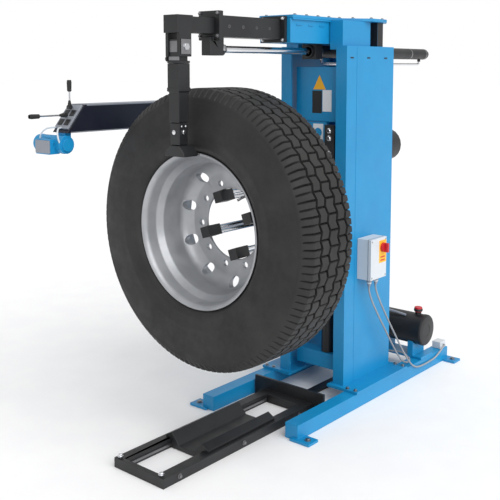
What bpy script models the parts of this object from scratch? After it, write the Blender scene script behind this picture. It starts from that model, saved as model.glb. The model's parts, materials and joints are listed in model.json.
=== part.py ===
"""Truck tyre changer: a wheel chuck on a lifting carriage, a sliding tool arm and a swinging control boom.

Metres, +Z up. The origin lies on the floor between the columns. The wheel is held on the -Y side,
and the chuck's axis runs along Y. The switch box is on the +X column and the boom on the -X one.
"""

import math

import bmesh
import bpy
from mathutils import Matrix, Vector
from mathutils.geometry import interpolate_bezier

GAP = 0.0003
RUN = 0.0005

RAIL_INNER = 0.193
RAIL_SIZE = 0.063
RAIL_REACH = 0.625
RAIL_WALL = 0.006
FOOT_REACH = 0.064
FOOT_HEIGHT = 0.010

COLUMN_INNER = 0.120
COLUMN_OUTER = 0.175
COLUMN_HALF_DEPTH = 0.189
COLUMN_WALL = 0.008
COLUMN_TOP = 1.553
FOOT_PLATE = 0.012
CAP_REACH = (0.085, 0.150)
CAP_DEPTH = (-0.185, 0.030)
POST_REACH = (0.118, 0.162)
POST_DEPTH = (0.070, 0.115)
BRIDGE_DEPTH = (-0.184, 0.184)
BRIDGE_Z = (1.538, 1.5528)

TRACK_HALF = 0.130
TRACK_HEIGHT = 0.037
TRACK_FRONT = -1.230
TRACK_SLOT_HALF = 0.085
TRACK_SLOT = (-1.210, -0.400)

SPINDLE_Z = 0.848
WHEEL_Y = -0.795
RIM_RADIUS = 0.2985
HUB_HOLE = 0.1405
TYRE_RADIUS = 0.538
TYRE_HALF = 0.156
WHEEL_SIDES = 40
STUD_CIRCLE = 0.1675
HAND_CIRCLE = 0.228
HAND_HOLE = 0.022
JAW_PHASE = math.radians(20)
JAW_FRONT = -0.762
JAW_BACK = -0.688

CARRIAGE_HALF = 0.113
CARRIAGE_FRONT = -0.155
CARRIAGE_BACK = 0.150
CARRIAGE_Z = (0.660, 1.120)
MOTOR_Z = 1.086
MOTOR_RADIUS = 0.0765

ARM_Z = 1.615
ARM_HALF = 0.040
ARM_INNER_HALF = 0.029
HOUSING_Y = (-0.455, 0.240)
HOUSING_HALF = 0.080
HOUSING_Z = (1.5616, 1.660)
COVER_Z = (1.6603, 1.674)
CYLINDER_Z = 1.530
CYLINDER_RADIUS = 0.027
CYLINDER_END = 0.785
PORT_Y = 0.735
TOOL_Y = -1.010
TILT_Z = 1.535

BOOM_X = (-0.652, -0.555)
BOOM_Z = (1.200, 1.311)
BOOM_PIVOT = (-0.6035, -0.130)
LINK_PIVOT = (-0.240, -0.110)
UPRIGHT_LEVER = (-0.604, -1.034, 1.301)
FORWARD_LEVER = (-0.604, -1.059, 1.270)

BOX_X = 0.246
BOX_Y = (-0.091, 0.036)
BOX_Z = (0.536, 0.716)
KNOB_AT = (0.004, 0.672)
TANK_Y = 0.411
TANK_Z = 0.196
TANK_RADIUS = 0.074
CAP_X = 0.205


def clear_scene():
    for old in list(bpy.data.objects):
        bpy.data.objects.remove(old, do_unlink=True)


def material(name, colour, roughness, metallic=0.0):
    made = bpy.data.materials.new(name)
    made.use_nodes = True
    shader = made.node_tree.nodes["Principled BSDF"]
    shader.inputs["Base Color"].default_value = (*colour, 1.0)
    shader.inputs["Roughness"].default_value = roughness
    shader.inputs["Metallic"].default_value = metallic
    return made


def new_object(name, shape, place, paint):
    bmesh.ops.recalc_face_normals(shape, faces=shape.faces)
    mesh = bpy.data.meshes.new(name)
    shape.to_mesh(mesh)
    shape.free()
    mesh.shade_smooth()
    mesh.set_sharp_from_angle(angle=math.radians(35))
    if paint:
        mesh.materials.append(paint)
    made = bpy.data.objects.new(name, mesh)
    made.location = place
    bpy.context.collection.objects.link(made)
    return made


def box(name, low, high, paint=None):
    shape = bmesh.new()
    bmesh.ops.create_cube(shape, size=1.0)
    bmesh.ops.scale(shape, vec=Vector(high) - Vector(low), verts=shape.verts)
    return new_object(name, shape, (Vector(low) + Vector(high)) / 2, paint)


def side_box(name, side, x_span, y_span, z_span, paint=None):
    """A box at this distance from the middle plane, on its +X side for 1 and its -X side for -1."""
    near, far = sorted(side * x for x in x_span)
    return box(name, (near, y_span[0], z_span[0]), (far, y_span[1], z_span[1]), paint)


def prism(name, outline, axis, low, high, paint=None):
    """An outline in the plane of the other two axes, in X, Y, Z order, extruded along this axis."""
    shape = bmesh.new()
    corners = []
    for first, second in outline:
        point = [first, second]
        point.insert(axis, low)
        corners.append(shape.verts.new(point))
    face = shape.faces.new(corners)
    grown = bmesh.ops.extrude_face_region(shape, geom=[face])["geom"]
    step = Vector((0, 0, 0))
    step[axis] = high - low
    bmesh.ops.translate(shape, vec=step, verts=[v for v in grown if isinstance(v, bmesh.types.BMVert)])
    return new_object(name, shape, (0, 0, 0), paint)


def circle(centre, radius, sides):
    turns = (2 * math.pi * k / sides for k in range(sides))
    return [(centre[0] + radius * math.cos(t), centre[1] + radius * math.sin(t)) for t in turns]


def bar(name, axis, centre, radius, low, high, paint=None, sides=20):
    return prism(name, circle(centre, radius, sides), axis, low, high, paint)


def turned(name, profile, place, paint=None, sides=WHEEL_SIDES):
    """A ring about the Y axis through place, with a closed profile of (radius, y) points."""
    shape = bmesh.new()
    rings = []
    for k in range(sides):
        turn = 2 * math.pi * k / sides
        rings.append([shape.verts.new((r * math.cos(turn), y, r * math.sin(turn))) for r, y in profile])
    for k in range(sides):
        here = rings[k]
        there = rings[(k + 1) % sides]
        for j in range(len(profile)):
            n = (j + 1) % len(profile)
            shape.faces.new((here[j], there[j], there[n], here[n]))
    return new_object(name, shape, place, paint)


def combine(base, operation, others):
    for other in others:
        step = base.modifiers.new(other.name, "BOOLEAN")
        step.operation = operation
        step.solver = "EXACT"
        step.object = other
        other.hide_render = True
        other.display_type = "WIRE"
    return base


def fuse(base, *others):
    return combine(base, "UNION", others)


def cut(base, *others):
    return combine(base, "DIFFERENCE", others)


def joint(name, place, parent=None):
    """An empty on a joint's axis, which carries the pieces that move with it."""
    made = bpy.data.objects.new(name, None)
    made.location = place
    bpy.context.collection.objects.link(made)
    if parent:
        made.parent = parent
        made.matrix_parent_inverse = Matrix.Translation(-parent.location)
    return made


def carry(empty, *pieces):
    for made in pieces:
        made.parent = empty
        made.matrix_parent_inverse = Matrix.Translation(-empty.location)


def smooth_route(points, spacing):
    """Points about this far apart on one smooth curve through the route's points."""
    route = [Vector(p) for p in points]
    ahead = route[1:] + [route[-1]]
    behind = [route[0]] + route[:-1]
    slopes = [(b - a) / 2 for a, b in zip(behind, ahead)]
    found = [route[0]]
    for here, there, out, into in zip(route, route[1:], slopes, slopes[1:]):
        steps = max(1, round((there - here).length / spacing))
        found += interpolate_bezier(here, here + out / 3, there - into / 3, there, steps + 1)[1:]
    return found


def lead(name, points, radius, paint, spacing):
    curve = bpy.data.curves.new(name, "CURVE")
    curve.dimensions = "3D"
    curve.bevel_depth = radius
    curve.bevel_resolution = 2
    curve.use_fill_caps = True
    places = smooth_route(points, spacing)
    spline = curve.splines.new("POLY")
    spline.points.add(len(places) - 1)
    for point, place in zip(spline.points, places):
        point.co = (*place, 1.0)
    curve.materials.append(paint)
    made = bpy.data.objects.new(name, curve)
    bpy.context.collection.objects.link(made)
    return made


def side_name(stem, side):
    return stem + ("_right" if side > 0 else "_left")


def make_base_rail(side, paints):
    name = side_name("base_rail", side)
    outer = RAIL_INNER + RAIL_SIZE
    rail = side_box(
        name, side, (RAIL_INNER, outer), (-RAIL_REACH, RAIL_REACH), (0, RAIL_SIZE), paints["blue"]
    )
    tabs = []
    for end in (-1, 1):
        y_span = sorted((end * 0.575, end * 0.640))
        x_span = (outer - 0.03, outer + FOOT_REACH)
        tabs.append(side_box(f"{name}_tab", side, x_span, y_span, (0, FOOT_HEIGHT)))
    fuse(rail, *tabs)
    hollow = (RAIL_INNER + RAIL_WALL, outer - RAIL_WALL)
    return cut(
        rail,
        side_box(f"{name}_hollow", side, hollow, (-RAIL_REACH + 0.01, 0.7), (0.012, RAIL_SIZE - RAIL_WALL)),
    )


def make_column(side, paints):
    """A folded channel, open towards the middle, welded to its foot plate and to the cap block above."""
    deep = COLUMN_HALF_DEPTH
    web = COLUMN_OUTER - COLUMN_WALL
    lip = deep - COLUMN_WALL
    outline = [
        (COLUMN_INNER, -deep),
        (COLUMN_OUTER, -deep),
        (COLUMN_OUTER, deep),
        (COLUMN_INNER, deep),
        (COLUMN_INNER, lip),
        (web, lip),
        (web, -lip),
        (COLUMN_INNER, -lip),
    ]
    outline = [(side * x, y) for x, y in outline]
    name = side_name("column", side)
    bottom = RAIL_SIZE + GAP
    column = prism(name, outline, 2, bottom + 0.004, COLUMN_TOP, paints["blue"])
    foot_reach = (0.104, RAIL_INNER + RAIL_SIZE + 0.006)
    foot = side_box(f"{name}_foot", side, foot_reach, (-0.212, 0.212), (bottom, bottom + FOOT_PLATE))
    cap_z = (COLUMN_TOP - 0.005, COVER_Z[0] - GAP)
    cap = side_box(f"{name}_cap", side, CAP_REACH, CAP_DEPTH, cap_z)
    post = side_box(f"{name}_post", side, POST_REACH, POST_DEPTH, cap_z)
    bridge = side_box(
        f"{name}_bridge", side, (CAP_REACH[0], COLUMN_OUTER - COLUMN_WALL / 2), BRIDGE_DEPTH, BRIDGE_Z
    )
    return fuse(column, foot, cap, post, bridge)


def make_ties(paints):
    inner = COLUMN_INNER - GAP
    box("lower_tie", (-inner, -0.135, 0.110), (inner, -0.065, 0.180), paints["blue"])
    box("apron_plate", (-inner, -0.150, 1.225), (inner, -0.140, 1.465), paints["blue"])


def make_floor_track(paints):
    frame = box(
        "floor_track", (-TRACK_HALF, TRACK_FRONT, 0), (TRACK_HALF, -0.330, TRACK_HEIGHT), paints["black"]
    )
    slot = box(
        "track_slot",
        (-TRACK_SLOT_HALF, TRACK_SLOT[0], -0.01),
        (TRACK_SLOT_HALF, TRACK_SLOT[1], TRACK_HEIGHT + 0.01),
    )
    sole = box("track_sole", (-0.025, -0.350, 0), (0.025, 0.060, 0.008))
    cross = box("track_cross", (-0.187, -0.356, 0.0), (0.187, -0.344, 0.088))
    fuse(frame, sole, cross)
    cut(frame, slot)
    bolts = [bar(f"track_bolt_{s}", 2, (s * 0.108, -1.219), 0.008, 0.02, 0.044, sides=6) for s in (-1, 1)]
    return fuse(frame, *bolts)


def make_wheel_cradle(paints):
    half = TRACK_SLOT_HALF - 0.002
    over = TRACK_HEIGHT + RUN
    right = [(half, 0.003), (half, over), (0.112, over), (0.112, 0.046), (0.080, 0.064), (0.040, 0.020)]
    left = [(-x, z) for x, z in reversed(right)]
    cradle = prism("wheel_cradle", right + left, 1, -0.985, -0.590, paints["black"])
    carry(joint("cradle_slide", (0, -0.787, TRACK_HEIGHT)), cradle)


def make_housing(paints):
    front, back = HOUSING_Y
    hole = ARM_HALF + RUN
    housing = box(
        "arm_housing",
        (-HOUSING_HALF, front, HOUSING_Z[0]),
        (HOUSING_HALF, back, HOUSING_Z[1]),
        paints["blue"],
    )
    tunnel = box("arm_tunnel", (-hole, front - 0.05, ARM_Z - hole), (hole, back + 0.05, ARM_Z + hole))
    cut(housing, tunnel)
    cover_outline = [
        (0.088, front + 0.005),
        (0.088, -0.100),
        (0.178, 0.010),
        (0.178, 0.120),
        (0.120, 0.210),
        (-0.120, 0.210),
        (-0.178, 0.120),
        (-0.178, -0.290),
        (-0.088, front + 0.005),
    ]
    prism("housing_cover", cover_outline, 2, COVER_Z[0], COVER_Z[1], paints["blue"])
    for name, y in (("wear_frame_front", front - 0.0153), ("wear_frame_rear", back + GAP)):
        frame = box(name, (-0.062, y, 1.562), (0.062, y + 0.015, 1.668), paints["black"])
        cut(frame, box(f"{name}_hole", (-hole, y - 0.05, ARM_Z - hole), (hole, y + 0.05, ARM_Z + hole)))


def make_arm_cylinder(paints):
    at = (0, CYLINDER_Z)
    barrel = bar("arm_barrel", 1, at, CYLINDER_RADIUS, -0.229, CYLINDER_END, paints["black"])
    end = bar("barrel_end", 1, at, 0.021, CYLINDER_END - 0.010, CYLINDER_END + 0.016)
    port = bar("barrel_port", 2, (0, PORT_Y), 0.008, 1.492, 1.520, sides=12)
    fuse(barrel, end, port)
    cut(barrel, bar("barrel_bore", 1, at, 0.0205, -0.30, 0.600))
    for name, y in (("barrel_block_front", -0.222), ("barrel_block_rear", 0.160)):
        block = box(name, (-0.036, y, 1.497), (0.036, y + 0.050, HOUSING_Z[0] - GAP), paints["black"])
        hole = bar(f"{name}_hole", 1, at, CYLINDER_RADIUS + 0.0008, y - 0.02, y + 0.07)
        cut(block, hole)
    route = [(0, PORT_Y, 1.4915), (0, PORT_Y, 1.487), (0, PORT_Y - 0.004, 1.481), (0, PORT_Y - 0.015, 1.4785)]
    route += [(0, 0.2, 1.478), (0, -0.112, 1.4785), (0, -0.127, 1.4835), (0, -0.1305, 1.493)]
    route.append((0, -0.1305, 1.5015))
    lead("arm_pipe", route, 0.006, paints["chrome"], 0.06)


def make_lift_cylinder(paints):
    at = (0.030, -0.100)
    barrel = bar("lift_barrel", 2, at, 0.030, 0.180 + GAP, 0.480, paints["black"], sides=16)
    cut(barrel, bar("lift_bore", 2, at, 0.0168, 0.195, 0.55, sides=16))
    rod = bar("lift_rod", 2, at, 0.0160, 0.352, CARRIAGE_Z[0] - GAP, paints["chrome"], sides=16)
    return rod


def make_carriage(paints):
    """The block that rides up and down between the columns, with the spindle's bearing and motor."""
    low, high = CARRIAGE_Z
    half = CARRIAGE_HALF
    frame = box("carriage_frame", (-half, CARRIAGE_FRONT, low), (half, CARRIAGE_BACK, high), paints["blue"])
    bore = bar("carriage_bore", 1, (0, SPINDLE_Z), 0.060, -0.30, 0.30, sides=24)
    window = box("carriage_window", (-0.075, -0.10, 0.915), (0.075, 0.40, 1.02))
    shaft_hole = bar("motor_hole", 1, (0, MOTOR_Z), 0.020, 0.05, 0.30, sides=16)
    cut(frame, bore, window, shaft_hole)
    pieces = [frame]
    for side in (-1, 1):
        name = side_name("guide_block", side)
        guide = side_box(
            name, side, (0.064, 0.113), (-0.190, CARRIAGE_FRONT - GAP), (1.040, 1.215), paints["black"]
        )
        heads = []
        for z in (1.062, 1.094, 1.158, 1.190):
            heads.append(bar(f"{name}_bolt", 1, (side * 0.0885, z), 0.009, -0.197, -0.18, sides=6))
        pieces.append(fuse(guide, *heads))
    behind = CARRIAGE_FRONT - GAP
    flange = [(0.0405, -0.185), (0.095, -0.185), (0.095, behind), (0.0595, behind)]
    flange += [(0.0595, -0.090), (0.0405, -0.090)]
    pieces.append(turned("spindle_bearing", flange, (0, 0, SPINDLE_Z), paints["steel"], sides=24))
    motor = bar("drive_motor", 1, (0, MOTOR_Z), MOTOR_RADIUS, 0.2253, 0.440, paints["black"])
    hood = bar("motor_hood", 1, (0, MOTOR_Z), 0.070, 0.430, 0.449)
    pieces.append(fuse(motor, hood))
    return pieces


def stadium(low_radius, high_radius, sides=16):
    """The outline of a belt round the spindle's pulley below and the motor's pulley above."""
    apart = MOTOR_Z - SPINDLE_Z
    lean = math.asin((low_radius - high_radius) / apart)
    points = []
    for k in range(sides + 1):
        turn = lean + (math.pi - 2 * lean) * k / sides
        points.append((high_radius * math.cos(turn), MOTOR_Z + high_radius * math.sin(turn)))
    for k in range(sides + 1):
        turn = math.pi - lean + (math.pi + 2 * lean) * k / sides
        points.append((low_radius * math.cos(turn), SPINDLE_Z + low_radius * math.sin(turn)))
    return points


def make_drive(paints):
    """Belt drive behind the carriage: the belt, its cover, and the two pulleys."""
    big, small = 0.072, 0.036
    belt = prism("drive_belt", stadium(big + 0.0055, small + 0.0055), 1, 0.178, 0.198, paints["rubber"])
    cut(belt, prism("belt_inside", stadium(big + 0.0006, small + 0.0006), 1, 0.16, 0.22))
    cover = prism("belt_cover", stadium(0.096, 0.078), 1, CARRIAGE_BACK + GAP, 0.225, paints["blue"])
    pocket = prism("belt_cover_pocket", stadium(0.088, 0.050), 1, 0.160, 0.216)
    mouth = bar("belt_cover_mouth", 1, (0, SPINDLE_Z), 0.052, 0.14, 0.17, sides=24)
    top_mouth = bar("belt_cover_top_mouth", 1, (0, MOTOR_Z), 0.020, 0.14, 0.24, sides=16)
    cut(cover, pocket, mouth, top_mouth)
    pulley = bar("motor_pulley", 1, (0, MOTOR_Z), small, 0.175, 0.201, paints["steel"])
    shaft = bar("motor_shaft", 1, (0, MOTOR_Z), 0.014, 0.165, 0.2248, sides=12)
    fuse(pulley, shaft)
    spindle_pulley = bar("spindle_pulley", 1, (0, SPINDLE_Z), big, 0.175, 0.201, paints["steel"], sides=24)
    return [belt, cover], pulley, spindle_pulley


def radial_cylinders(name, count, circle_radius, radius, low, high, phase, sides=10):
    """Round cutters along Y, evenly placed round the spindle's axis."""
    shape = bmesh.new()
    for k in range(count):
        turn = phase + 2 * math.pi * k / count
        centre = (circle_radius * math.cos(turn), SPINDLE_Z + circle_radius * math.sin(turn))
        ring = [shape.verts.new((x, low, z)) for x, z in circle(centre, radius, sides)]
        grown = bmesh.ops.extrude_face_region(shape, geom=[shape.faces.new(ring)])["geom"]
        moved = [v for v in grown if isinstance(v, bmesh.types.BMVert)]
        bmesh.ops.translate(shape, vec=(0, high - low, 0), verts=moved)
    return new_object(name, shape, (0, 0, 0), None)


def make_rim(paints):
    profile = [(RIM_RADIUS, -0.135), (RIM_RADIUS, -0.128), (0.2870, -0.122), (0.2850, -0.085)]
    profile += [(0.2640, -0.060), (0.2640, 0.030), (0.2850, 0.085), (0.2870, 0.122)]
    profile += [(RIM_RADIUS, 0.128), (RIM_RADIUS, 0.135), (0.2790, 0.131), (0.2765, 0.088)]
    profile += [(0.2560, 0.062), (0.2150, 0.092), (HUB_HOLE, 0.092), (HUB_HOLE, 0.078)]
    profile += [(0.2100, 0.078), (0.2540, 0.030), (0.2540, -0.055), (0.2765, -0.082), (0.2790, -0.118)]
    rim = turned("wheel_rim", profile, (0, WHEEL_Y, SPINDLE_Z), paints["silver"])
    low, high = WHEEL_Y, WHEEL_Y + 0.16
    studs = radial_cylinders("stud_holes", 10, STUD_CIRCLE, 0.013, low, high, math.radians(4.5), sides=8)
    hands = radial_cylinders("hand_holes", 10, HAND_CIRCLE, HAND_HOLE, low, high, math.radians(22.5))
    return cut(rim, studs, hands)


def make_tyre(paints):
    half = [(0.2874, 0.120), (0.3000, 0.1245), (0.312, 0.140), (0.350, 0.153), (0.400, TYRE_HALF)]
    half += [(0.460, 0.150), (0.505, 0.139), (0.525, 0.124), (TYRE_RADIUS, 0.098)]
    inner = [(0.514, 0.095), (0.495, 0.118), (0.430, 0.136), (0.370, 0.134), (0.316, 0.110), (0.2862, 0.098)]
    profile = [(r, -y) for r, y in half] + list(reversed(half))
    profile += list(reversed(inner)) + [(r, -y) for r, y in inner]
    return turned("tyre", profile, (0, WHEEL_Y, SPINDLE_Z), paints["rubber"])


def make_spindle(paints):
    at = (0, SPINDLE_Z)
    shaft = bar("spindle_shaft", 1, at, 0.040, -0.3297, 0.1747, paints["steel"], sides=24)
    chuck = bar("chuck_body", 1, at, 0.112, -0.400, -0.330, paints["black"], sides=28)
    for k in range(4):
        groove = box(f"chuck_groove_{k + 1}", (0.028, -0.45, -0.0225), (0.20, -0.376, 0.0225))
        groove.data.transform(Matrix.Translation(groove.location))
        groove.location = (0, 0, SPINDLE_Z)
        groove.rotation_euler = (0, -(JAW_PHASE + k * math.pi / 2), 0)
        cut(chuck, groove)
    return [shaft, chuck]


def make_jaw(number, paints):
    """A clamping jaw: its foot in the chuck's groove, two round bars and the block inside the rim's hole."""
    name = f"jaw_{number}"
    reach = HUB_HOLE - 0.0028
    parts = [
        box(name, (0.062, -0.418, -0.0218), (0.136, -0.3765, 0.0218), paints["black"]),
        box(f"{name}_block", (0.094, JAW_FRONT, -0.0215), (reach, JAW_BACK, 0.0215)),
        bar(f"{name}_bar_low", 1, (0.108, 0.010), 0.0085, JAW_BACK - 0.01, -0.41, sides=12),
        bar(f"{name}_bar_high", 1, (0.126, -0.010), 0.0085, JAW_BACK - 0.01, -0.41, sides=12),
    ]
    for part in parts:
        part.data.transform(Matrix.Translation(part.location))
        part.location = (0, 0, SPINDLE_Z)
        part.rotation_euler = (0, -(JAW_PHASE + (number - 1) * math.pi / 2), 0)
    return fuse(parts[0], *parts[1:])


def make_tool_arm(paints):
    """The square arm that slides out of the housing, and its collar, rod and fork."""
    half, inner = ARM_HALF, ARM_INNER_HALF
    arm = box("tool_arm", (-half, -0.828, ARM_Z - half), (half, 0.280, ARM_Z + half), paints["black"])
    hole = inner + RUN
    cut(arm, box("arm_hollow", (-hole, -0.9, ARM_Z - hole), (hole, 0.4, ARM_Z + hole)))
    fork = box("arm_fork", (-inner, -0.990, ARM_Z - inner), (inner, -0.500, ARM_Z + inner), paints["black"])
    elbow = box("fork_elbow", (-0.036, -1.050, 1.584), (0.036, -0.970, 1.648))
    ears = [side_box("fork_ear", s, (0.0225, 0.036), (-1.040, -0.980), (1.500, 1.590)) for s in (-1, 1)]
    fuse(fork, elbow, *ears)
    cut(fork, bar("pin_hole", 0, (TOOL_Y, TILT_Z), 0.0085, -0.1, 0.1, sides=16))
    pin = bar("tilt_pin", 0, (TOOL_Y, TILT_Z), 0.0080, -0.040, 0.0365, paints["chrome"], sides=16)
    fuse(pin, bar("tilt_pin_head", 0, (TOOL_Y, TILT_Z), 0.013, 0.0363, 0.045, sides=6))
    collar = box("arm_collar", (-0.053, -0.850, 1.562), (0.053, -0.828 - GAP, 1.671), paints["black"])
    bracket = box("rod_bracket", (-0.022, -0.868, 1.506), (0.022, -0.790, ARM_Z - half - GAP))
    fuse(collar, bracket)
    cut(collar, box("collar_hole", (-hole, -0.9, ARM_Z - hole), (hole, -0.8, ARM_Z + hole)))
    rod = bar("arm_rod", 1, (0, CYLINDER_Z), 0.0140, -0.790 + GAP, 0.300, paints["chrome"])
    fuse(rod, bar("arm_piston", 1, (0, CYLINDER_Z), 0.0198, 0.280, 0.330))
    return [arm, fork, pin, collar, rod]


def make_tool(paints):
    """What hangs from the fork: the tilting block, the post that turns under it, and the demounting tool."""
    tilt = box(
        "tilt_block", (-0.0220, TOOL_Y - 0.024, 1.478), (0.0220, TOOL_Y + 0.024, 1.562), paints["black"]
    )
    fuse(tilt, box("tilt_flange", (-0.029, TOOL_Y - 0.029, 1.4765), (0.029, TOOL_Y + 0.029, 1.4850)))
    cut(tilt, bar("tilt_hole", 0, (TOOL_Y, TILT_Z), 0.0085, -0.1, 0.1, sides=16))
    post = box(
        "tool_post", (-0.029, TOOL_Y - 0.029, 1.375), (0.029, TOOL_Y + 0.029, 1.4762), paints["black"]
    )
    fuse(post, box("post_lower", (-0.0255, TOOL_Y - 0.0255, 1.263), (0.0255, TOOL_Y + 0.0255, 1.38)))
    wide = 0.0225
    holder = box(
        "tool_holder", (-wide, TOOL_Y - wide, 1.180), (wide, TOOL_Y + wide, 1.263 - GAP), paints["black"]
    )
    outline = [(-0.050, 1.140), (0.050, 1.140), (0.045, 1.156), (0.022, 1.180 - GAP)]
    outline += [(-0.022, 1.180 - GAP), (-0.045, 1.156)]
    shoe = prism("tool_shoe", outline, 1, -1.036, -0.964, paints["steel"])
    return [tilt], [post, holder, shoe]


def make_switch_box(paints):
    low = (COLUMN_OUTER + GAP, BOX_Y[0], BOX_Z[0])
    case = box("switch_box", low, (BOX_X, BOX_Y[1], BOX_Z[1]), paints["grey"])
    for k, y in enumerate((-0.050, 0.005)):
        fuse(case, bar(f"box_gland_{k + 1}", 2, (0.212, y), 0.011, 0.512, 0.545, sides=12))
    knob = bar("main_switch_knob", 0, KNOB_AT, 0.021, BOX_X + 0.0005, 0.260, paints["red"], sides=16)
    y, z = KNOB_AT
    fuse(knob, box("knob_grip", (0.255, y - 0.006, z - 0.020), (0.276, y + 0.006, z + 0.020)))
    carry(joint("main_switch_turn", (BOX_X, y, z)), knob)


def make_power_unit(paints):
    at = (TANK_Y, TANK_Z)
    tank = bar("oil_tank", 0, at, TANK_RADIUS, -0.020, 0.250, paints["black"], sides=28)
    neck = bar("filler_neck", 2, (CAP_X, TANK_Y), 0.015, 0.255, 0.281, sides=12)
    valve = box(
        "pump_block", (-0.090, TANK_Y - 0.060, TANK_Z - 0.060), (-0.010, TANK_Y + 0.060, TANK_Z + 0.070)
    )
    fuse(tank, neck, valve)
    motor = bar("pump_motor", 0, at, 0.068, -0.310, -0.090 - GAP, paints["black"], sides=24)
    terminal = box(
        "pump_terminal", (-0.240, TANK_Y + 0.030, TANK_Z - 0.030), (-0.170, TANK_Y + 0.090, TANK_Z + 0.030)
    )
    fuse(motor, terminal)
    base = RAIL_SIZE + GAP
    wide = RAIL_INNER + RAIL_SIZE
    cradle = box(
        "tank_cradle", (-wide, TANK_Y - 0.055, base), (wide, TANK_Y + 0.055, base + 0.012), paints["blue"]
    )
    saddles = [
        box(f"saddle_{x:.2f}", (x, TANK_Y - 0.055, 0.070), (x + 0.03, TANK_Y + 0.055, 0.165))
        for x in (0.02, 0.18)
    ]
    fuse(cradle, *saddles)
    cut(cradle, bar("saddle_round", 0, at, TANK_RADIUS + 0.0006, -0.1, 0.4, sides=28))
    cap = bar("filler_cap", 2, (CAP_X, TANK_Y), 0.019, 0.2815, 0.304, paints["red"], sides=12)
    carry(joint("filler_cap_turn", (CAP_X, TANK_Y, 0.2815)), cap)


def make_leads(paints):
    """The motor's lead, and the supply lead that runs along the right rail to its inlet."""
    inlet_low = (0.205, 0.560, RAIL_SIZE + GAP)
    box("supply_inlet", inlet_low, (0.250, 0.615, RAIL_SIZE + 0.034), paints["grey"])
    motor_route = [
        (0.212, -0.050, 0.5117),
        (0.212, -0.049, 0.480),
        (0.216, -0.030, 0.430),
        (0.223, 0.010, 0.360),
        (0.229, 0.060, 0.285),
        (0.234, 0.115, 0.205),
        (0.236, 0.170, 0.135),
        (0.235, 0.225, 0.088),
        (0.231, 0.275, 0.0715),
        (0.212, 0.318, 0.0715),
        (0.160, 0.338, 0.085),
        (0.080, 0.344, 0.076),
        (-0.020, 0.338, 0.060),
        (-0.110, 0.336, 0.062),
        (-0.190, 0.335, 0.095),
        (-0.250, 0.328, 0.145),
        (-0.290, 0.326, 0.205),
        (-0.306, 0.345, 0.265),
        (-0.296, 0.395, 0.302),
        (-0.265, 0.450, 0.307),
        (-0.232, 0.485, 0.288),
        (-0.212, 0.490, 0.256),
        (-0.205, 0.486, 0.238),
        (-0.205, 0.486, 0.2275),
    ]
    lead("motor_lead", motor_route, 0.004, paints["grey"], 0.022)
    supply_route = [
        (0.212, 0.005, 0.5117),
        (0.212, 0.006, 0.480),
        (0.220, 0.022, 0.430),
        (0.232, 0.055, 0.360),
        (0.242, 0.098, 0.285),
        (0.251, 0.148, 0.205),
        (0.258, 0.200, 0.130),
        (0.262, 0.250, 0.075),
        (0.2625, 0.300, 0.048),
        (0.2625, 0.360, 0.040),
        (0.2625, 0.420, 0.040),
        (0.2625, 0.480, 0.044),
        (0.2640, 0.520, 0.058),
        (0.2660, 0.548, 0.074),
        (0.2655, 0.568, 0.081),
        (0.2620, 0.583, 0.081),
        (0.2565, 0.589, 0.081),
        (0.2513, 0.5895, 0.081),
    ]
    lead("supply_lead", supply_route, 0.004, paints["grey"], 0.022)


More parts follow.
